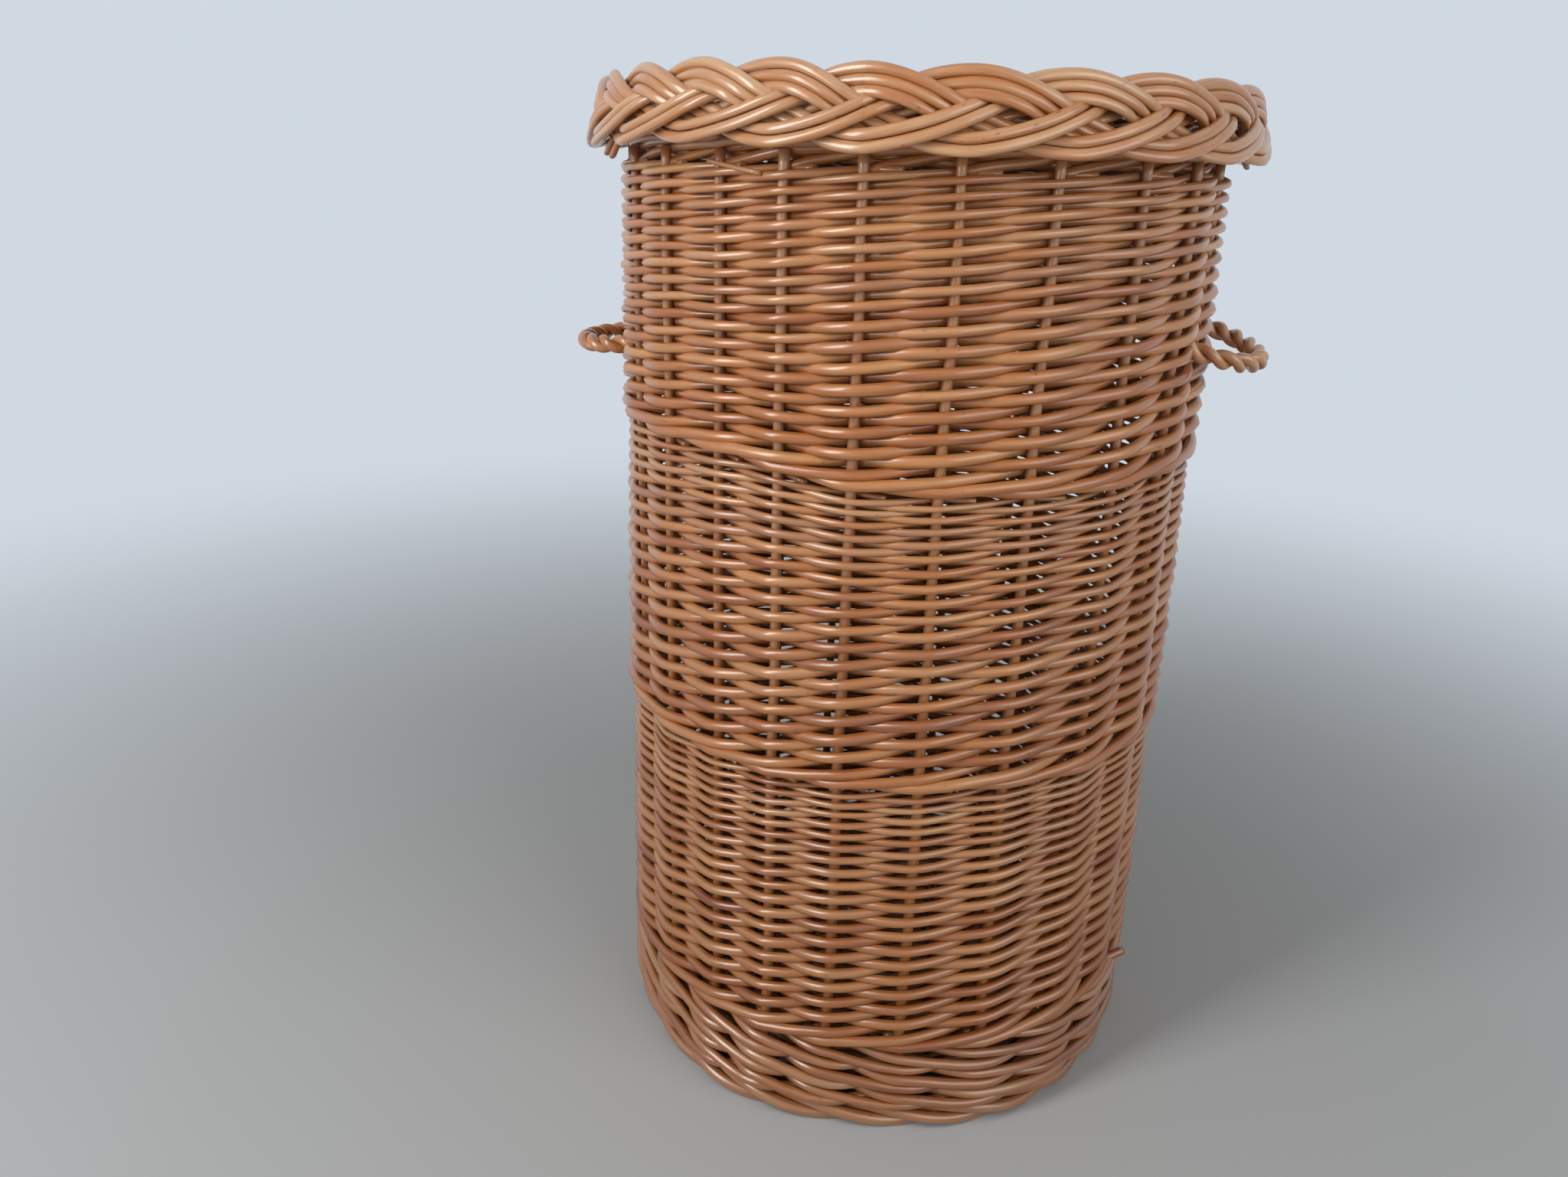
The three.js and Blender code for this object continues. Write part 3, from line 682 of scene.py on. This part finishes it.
def plait():
    """Four ribbons of three rods. From its lowest point a ribbon climbs over two others, under the third
    and to the top in 31 degrees, then falls over one and under two in 29. Of the climbing rods two are side
    by side, and the third runs behind them, a little higher. Across is square to the ribbon, and a rod
    dives up to 2 degrees sooner or later for each place across it. Two level rounds lie behind the ribbons,
    on the edge of the disc."""
    # A climbing ribbon's rods, from its lowest: shift across it in pitches, and depth behind it
    climbing_shift = {-1: 2.9, 0: -0.5, 1: -0.42}
    climbing_depth = {-1: 1.7 * PLAIT_ROD, 0: 0.0, 1: 0.0}
    steps = 300
    around = 360 * np.arange(steps) / steps
    strokes = around / (PLAIT_PERIOD / RIBBONS)
    bundle = Bundle()
    for ribbon in range(RIBBONS):
        turned = around - ribbon * PLAIT_PERIOD / RIBBONS
        # 1 where the ribbon climbs and 0 where it falls
        climbing = 1 - ease(turned % PLAIT_PERIOD, 16, 26) + ease(turned % PLAIT_PERIOD, 47, 57)
        angle = VIEW_ANGLE + np.radians(PLAIT_START + around)
        middle = polar(PLAIT_RADIUS, angle, ribbon_height(turned))
        tangent = unit(np.roll(middle, -1, 0) - np.roll(middle, 1, 0))
        outward = outward_of(middle)
        across = unit(np.cross(outward, tangent))
        paths, radii = [], []
        for place in (-1, 0, 1):
            lay = place + climbing * climbing_shift[place]
            lay = lay + 0.04 * waves(strokes, 50 + 3 * ribbon + place, 1.0, 8.0)
            out = ribbon_out(turned + 2.0 * place * np.sin(TURN * turned / PLAIT_PERIOD))
            out = out - climbing * climbing_depth[place]
            paths.append(middle + across * (lay * PLAIT_PITCH)[:, None] + outward * out[:, None])
            radii.append(PLAIT_ROD / 2 * (1 + 0.05 * waves(strokes, 70 + 3 * ribbon + place, 1.0, 12.0)))
        paths = np.array(paths)
        # Random tones from the paler part of the range: the plait paler than the foot, partly as painted light
        # on the rim
        tones = draws.uniform(0.55, 1, 3)
        bundle.add(paths, np.array(radii), outward_of(paths), sides=12, closed=True, tones=tones)
    angle = np.radians(around)
    # The rounds take the deepest tone, as painted shade in the holes between the ribbons
    for height in ROUND_HEIGHTS:
        path = polar(PLAIT_RADIUS - ROUND_INSET, angle, height + 0.5 * np.sin(7 * angle))[None]
        bundle.add(path, PLAIT_ROD / 2, outward_of(path), sides=10, closed=True, tones=np.zeros(1))
    add_ends(bundle, "lid")
    nodes = [f"plait_ribbon_{k + 1}" for k in range(3)]
    return bundle.make("plait_rods", THICK, "lid", "border_willow", nodes, warp=rim_set)


def handle(name, bay, height, droop, tilt):
    """Two rods twisted round a middle line: a straight leg through the wall, half an oval, and a leg back."""
    place = bay * BAY
    share = np.linspace(0, 1, 260)
    leg = np.minimum(np.minimum(share, 1 - share), HANDLE_LEG_SHARE) / HANDLE_LEG_SHARE
    oval = np.clip((share - HANDLE_LEG_SHARE) / (1 - 2 * HANDLE_LEG_SHARE), 0, 1)
    turned = (oval - 0.5) * TURN / 2
    out = HANDLE_LEG * leg + (HANDLE_REACH - HANDLE_LEG) * np.cos(turned)
    z = height - droop * out / HANDLE_REACH + tilt * np.sin(turned) * leg
    path = np.stack([HANDLE_LEG_X + out, HANDLE_LEG_Y * np.sin(turned), z], -1)
    tangent = unit(np.gradient(path, axis=0))
    sideways = unit(np.cross([0.0, 0.0, 1.0], tangent))
    along = np.cross(tangent, sideways)
    bundle = Bundle()
    for rod in (0, 1):
        twist = ((share * HANDLE_TWISTS + rod / 2) * TURN)[:, None]
        laid = path + HANDLE_CORE * (np.cos(twist) * sideways + np.sin(twist) * along)
        radius, angle, level = unrolled(laid)
        radii = HANDLE_ROD / 2 * (1 + 0.05 * waves(share * 9, 80 + rod + int(height), 1.0, 3.0))
        rope = polar(radius, angle + place, level)
        bundle.add(rope[None], radii[None], [0.0, 0.0, 1.0], sides=12)
    return bundle.make(f"{name}_rods", THICK, "basket", "border_willow", [f"{name}_rod_1", f"{name}_rod_2"])


def disc_height(disc, radius):
    """Height of a disc's middle: a low dome with its rim at the given height."""
    return disc["rim_z"] + disc["crown"] * (1 - (radius / disc["radius"]) ** 1.5)


def disc_sticks(disc, name, body, nodes):
    """Sticks crossed in the middle, straight in the cross, with each end bent out to be a spoke. Those
    along y go through the others, which are thicker there."""
    count, stick = disc["sticks"], disc["stick"]
    spacing, rim = stick * 1.15, disc["radius"] - 4
    half = count * spacing / 2
    bend = half + stick * 3.2
    reach = np.linspace(0, 1, 30)
    bend_share = 0.16
    bundle = Bundle()
    for along_y, squeeze in ((False, 1.28), (True, 0.66)):
        for number in range(count):
            place = number - (count - 1) / 2
            spoke = place * TURN / (4 * count)
            cosine, sine = np.cos(spoke), np.sin(spoke)
            x = np.interp(reach, [0, bend_share, 1], [half, bend * cosine, rim * cosine])
            y = np.interp(reach, [0, bend_share, 1], [place * spacing, bend * sine, rim * sine])
            x = np.concatenate([-x[::-1], x])
            y = np.concatenate([y[::-1], y])
            if along_y:
                x, y = -y, x
            radius = np.hypot(x, y)
            radii = stick / 2 * (1 + (squeeze - 1) * (1 - ease(radius, half, bend)))
            path = np.stack([x, y, disc_height(disc, radius)], -1)
            bundle.add(path[None], radii[None], [0.0, 0.0, 1.0], sides=10)
    return bundle.make(f"{name}_sticks", STAKE, body, "stake_willow", nodes)


def disc_weave(disc, name, body, nodes):
    """Rings of weave round the spokes: ring number k passes over a spoke where the next passes under it.
    Its phase is spokes / 2 * (angle - first) + k * half a turn, and it is on top where that is 0. The
    unevenness of a ring dies out where its ends meet."""
    bundle = Bundle()
    spokes, rod = disc["spokes"], disc["rod"]
    radii = np.arange(disc["start"], disc["radius"] - rod / 2 + 0.01, rod * 0.8)
    for row, radius in enumerate(radii):
        doubled = radius > disc["split"]
        count = spokes * 2 if doubled else spokes
        steps = count * (6 if doubled else 8)
        angle = np.arange(steps) * TURN / steps
        height = (disc["spoke"] + rod) / 2 * (0.8 if doubled else 1.0)
        phase = (angle - disc["first"]) * count / 2 + row * TURN / 2
        over = np.arcsin(0.9 * np.cos(phase)) / np.arcsin(0.9)
        uneven = 0.4 * waves(angle * 9 + 11 * row, 90, 1.0, 7.0)
        uneven = uneven * np.minimum(1, 4 * np.minimum(angle, TURN - angle))
        z = disc_height(disc, radius) + height * (0.8 * over + 0.25 * (1 - over**2))
        paths = polar(radius + uneven, angle, z)
        thick = rod * (1 + draws.uniform(-0.12, 0.06))
        bundle.add(paths[None], thick / 2, [0.0, 0.0, 1.0], sides=7, closed=True)
    return bundle.make(f"{name}_weave_rods", SIDING, body, "siding_willow", nodes)


# Discs: sticks each way, their thickness, the disc's radius, the height of its rim and of its crown above
# that, spokes and the angle of the first, thickness of the weave's rods and of a spoke, and the radius
# where the weave starts and where each spoke splits in two
BASE = {
    "sticks": 4, "stick": 8.0, "radius": 168.0, "rim_z": LEG_HEIGHT, "crown": 6.0, "spokes": 16,
    "first": np.radians(11.25), "rod": 3.6, "spoke": 7.0, "start": 30.0, "split": 100.0,
}
LID = {
    "sticks": 3, "stick": 7.0, "radius": 194.0, "rim_z": 635.2, "crown": 8.5, "spokes": 12,
    "first": 0.0, "rod": 3.6, "spoke": 6.0, "start": 20.0, "split": 80.0,
}

for band in BANDS:
    siding(band)
stakes()
foot_wale()
foot_rope()
rolled_border()
plait()
for name, place in HANDLES.items():
    handle(name, *place)
for disc, name, body in ((BASE, "base", "basket"), (LID, "lid", "lid")):
    kinds = ("pierced", "threaded")
    sticks = [f"{name}_{kind}_stick_{k + 1}" for kind in kinds for k in range(disc["sticks"])]
    disc_sticks(disc, name, body, sticks)
    disc_weave(disc, name, body, [f"{name}_weave"])


# Studio

BACKDROP = linear(208, 217, 226)
PAPER = linear(176, 179, 181)
ROOM_LIGHT = (1.0, 0.98, 0.96, 1)


def seen(nodes):
    """1 for the rays that look at the studio or mirror it, 0 for those that light the basket."""
    camera_ray = nodes.node("ShaderNodeLightPath")
    return camera_ray + camera_ray.beside("Is Glossy Ray") + camera_ray.beside("Is Transmission Ray")


def paper():
    """Grey paper, which fades with distance into the pale backdrop."""
    finish = Finish("studio_paper", Roughness=0.7, Base_Color=PAPER)
    place = finish.node("ShaderNodeTexCoord", output="Object")
    reach = finish.node("ShaderNodeVectorMath", output="Value", settings={"operation": "LENGTH"}, i0=place)
    fade = finish.stretch(reach, 0.3, 1.9, 0, 1, interpolation_type="SMOOTHSTEP")
    glow = finish.node("ShaderNodeEmission", Color=BACKDROP)
    plain = Wire(finish, finish.shader.outputs[0])
    mixed = finish.node("ShaderNodeMixShader", i0=fade * seen(finish), i1=plain, i2=glow)
    output = next(node for node in finish.tree.nodes if node.type == "OUTPUT_MATERIAL")
    finish.tree.links.new(mixed.socket, output.inputs["Surface"])
    return finish.material


def floor():
    """Pale floor that curves up into a pale backdrop: a straight line, a quarter circle and a wall."""
    turned = np.linspace(0, TURN / 4, 17)
    quarter = np.stack([3.2 + np.sin(turned), 1 - np.cos(turned)], -1)
    profile = np.concatenate([[[-3.0, 0.0]], quarter, [[4.2, 4.0]]])
    x = np.linspace(-6, 6, 3)
    points = np.array([[a, y, z] for y, z in profile for a in x])
    columns = len(x)
    corners = [row * columns + column for row in range(len(profile) - 1) for column in range(columns - 1)]
    faces = [[corner, corner + 1, corner + columns + 1, corner + columns] for corner in corners]
    mesh = bpy.data.meshes.new("studio_floor")
    mesh.from_pydata(points.tolist(), [], faces)
    mesh.polygons.foreach_set("use_smooth", [True] * len(mesh.polygons))
    mesh.materials.append(paper())
    sheet = bpy.data.objects.new("studio_floor", mesh)
    bpy.context.scene.collection.objects.link(sheet)


def room():
    """World: soft light from all round, weaker from above, and the pale backdrop where it is seen."""
    world = bpy.data.worlds.new("room")
    bpy.context.scene.world = world
    world.use_nodes = True
    nodes = Nodes(world.node_tree)
    place = nodes.node("ShaderNodeTexCoord", output="Generated")
    upwards = nodes.node("ShaderNodeSeparateXYZ", output=2, Vector=place)
    background = nodes.tree.nodes["Background"]
    background.inputs["Color"].default_value = ROOM_LIGHT
    nodes.tree.links.new((0.46 - upwards * 0.26).socket, background.inputs["Strength"])
    light = Wire(nodes, background.outputs[0])
    backdrop = nodes.node("ShaderNodeBackground", Color=BACKDROP)
    mixed = nodes.node("ShaderNodeMixShader", i0=seen(nodes), i1=light, i2=backdrop)
    nodes.tree.links.new(mixed.socket, nodes.tree.nodes["World Output"].inputs["Surface"])


def lamp(name, place, aim, size, power, colour):
    """Rectangle of soft light, aimed at a place."""
    light = bpy.data.lights.new(name, "AREA")
    light.shape = "RECTANGLE"
    light.size, light.size_y = size
    light.energy = power
    light.color = colour
    holder = bpy.data.objects.new(name, light)
    holder.location = place
    holder.rotation_euler = (Vector(aim) - Vector(place)).to_track_quat("-Z", "Y").to_euler()
    bpy.context.scene.collection.objects.link(holder)


def camera():
    """The photograph's view: 20 degrees down from 0.62 m up, with a 27.5 mm lens and a roll of 1.6 degrees.
    The camera looks past the basket's axis, and the yaw is below 0 because that is to the left."""
    distance, height = 0.831, 0.618
    lens_mm, film_mm = 27.485, 36
    pitch, roll, yaw = np.radians([19.98, 1.56, -5.55]).tolist()
    turn = float(CAMERA_AZIMUTH)
    place = Vector((distance * np.sin(turn), -distance * np.cos(turn), height))
    forward = Vector((np.sin(yaw) * np.cos(pitch), np.cos(yaw) * np.cos(pitch), -np.sin(pitch)))
    right = Vector((np.cos(yaw), -np.sin(yaw), 0.0))
    up = right.cross(forward)
    cosine, sine = float(np.cos(roll)), float(np.sin(roll))
    axes = [right * cosine + up * sine, up * cosine - right * sine, -forward]
    swing = Matrix.Rotation(turn, 3, "Z")
    basis = Matrix([swing @ axis for axis in axes]).transposed()
    lens = bpy.data.cameras.new("camera")
    lens.lens = lens_mm
    lens.sensor_width = film_mm
    lens.clip_start = 0.01
    holder = bpy.data.objects.new("camera", lens)
    holder.matrix_world = Matrix.Translation(place) @ basis.to_4x4()
    bpy.context.scene.collection.objects.link(holder)
    bpy.context.scene.camera = holder


floor()
lamp("window", (-1.10, -1.06, 1.23), (0, 0, 0.55), (0.45, 1.4), 20.5, (1.0, 0.985, 0.96))
lamp("fill", (1.5, -1.2, 1.25), (0, 0, 0.55), (1.8, 1.4), 17, (1.0, 0.98, 0.95))
room()
camera()
bpy.context.scene.view_settings.view_transform = "Standard"
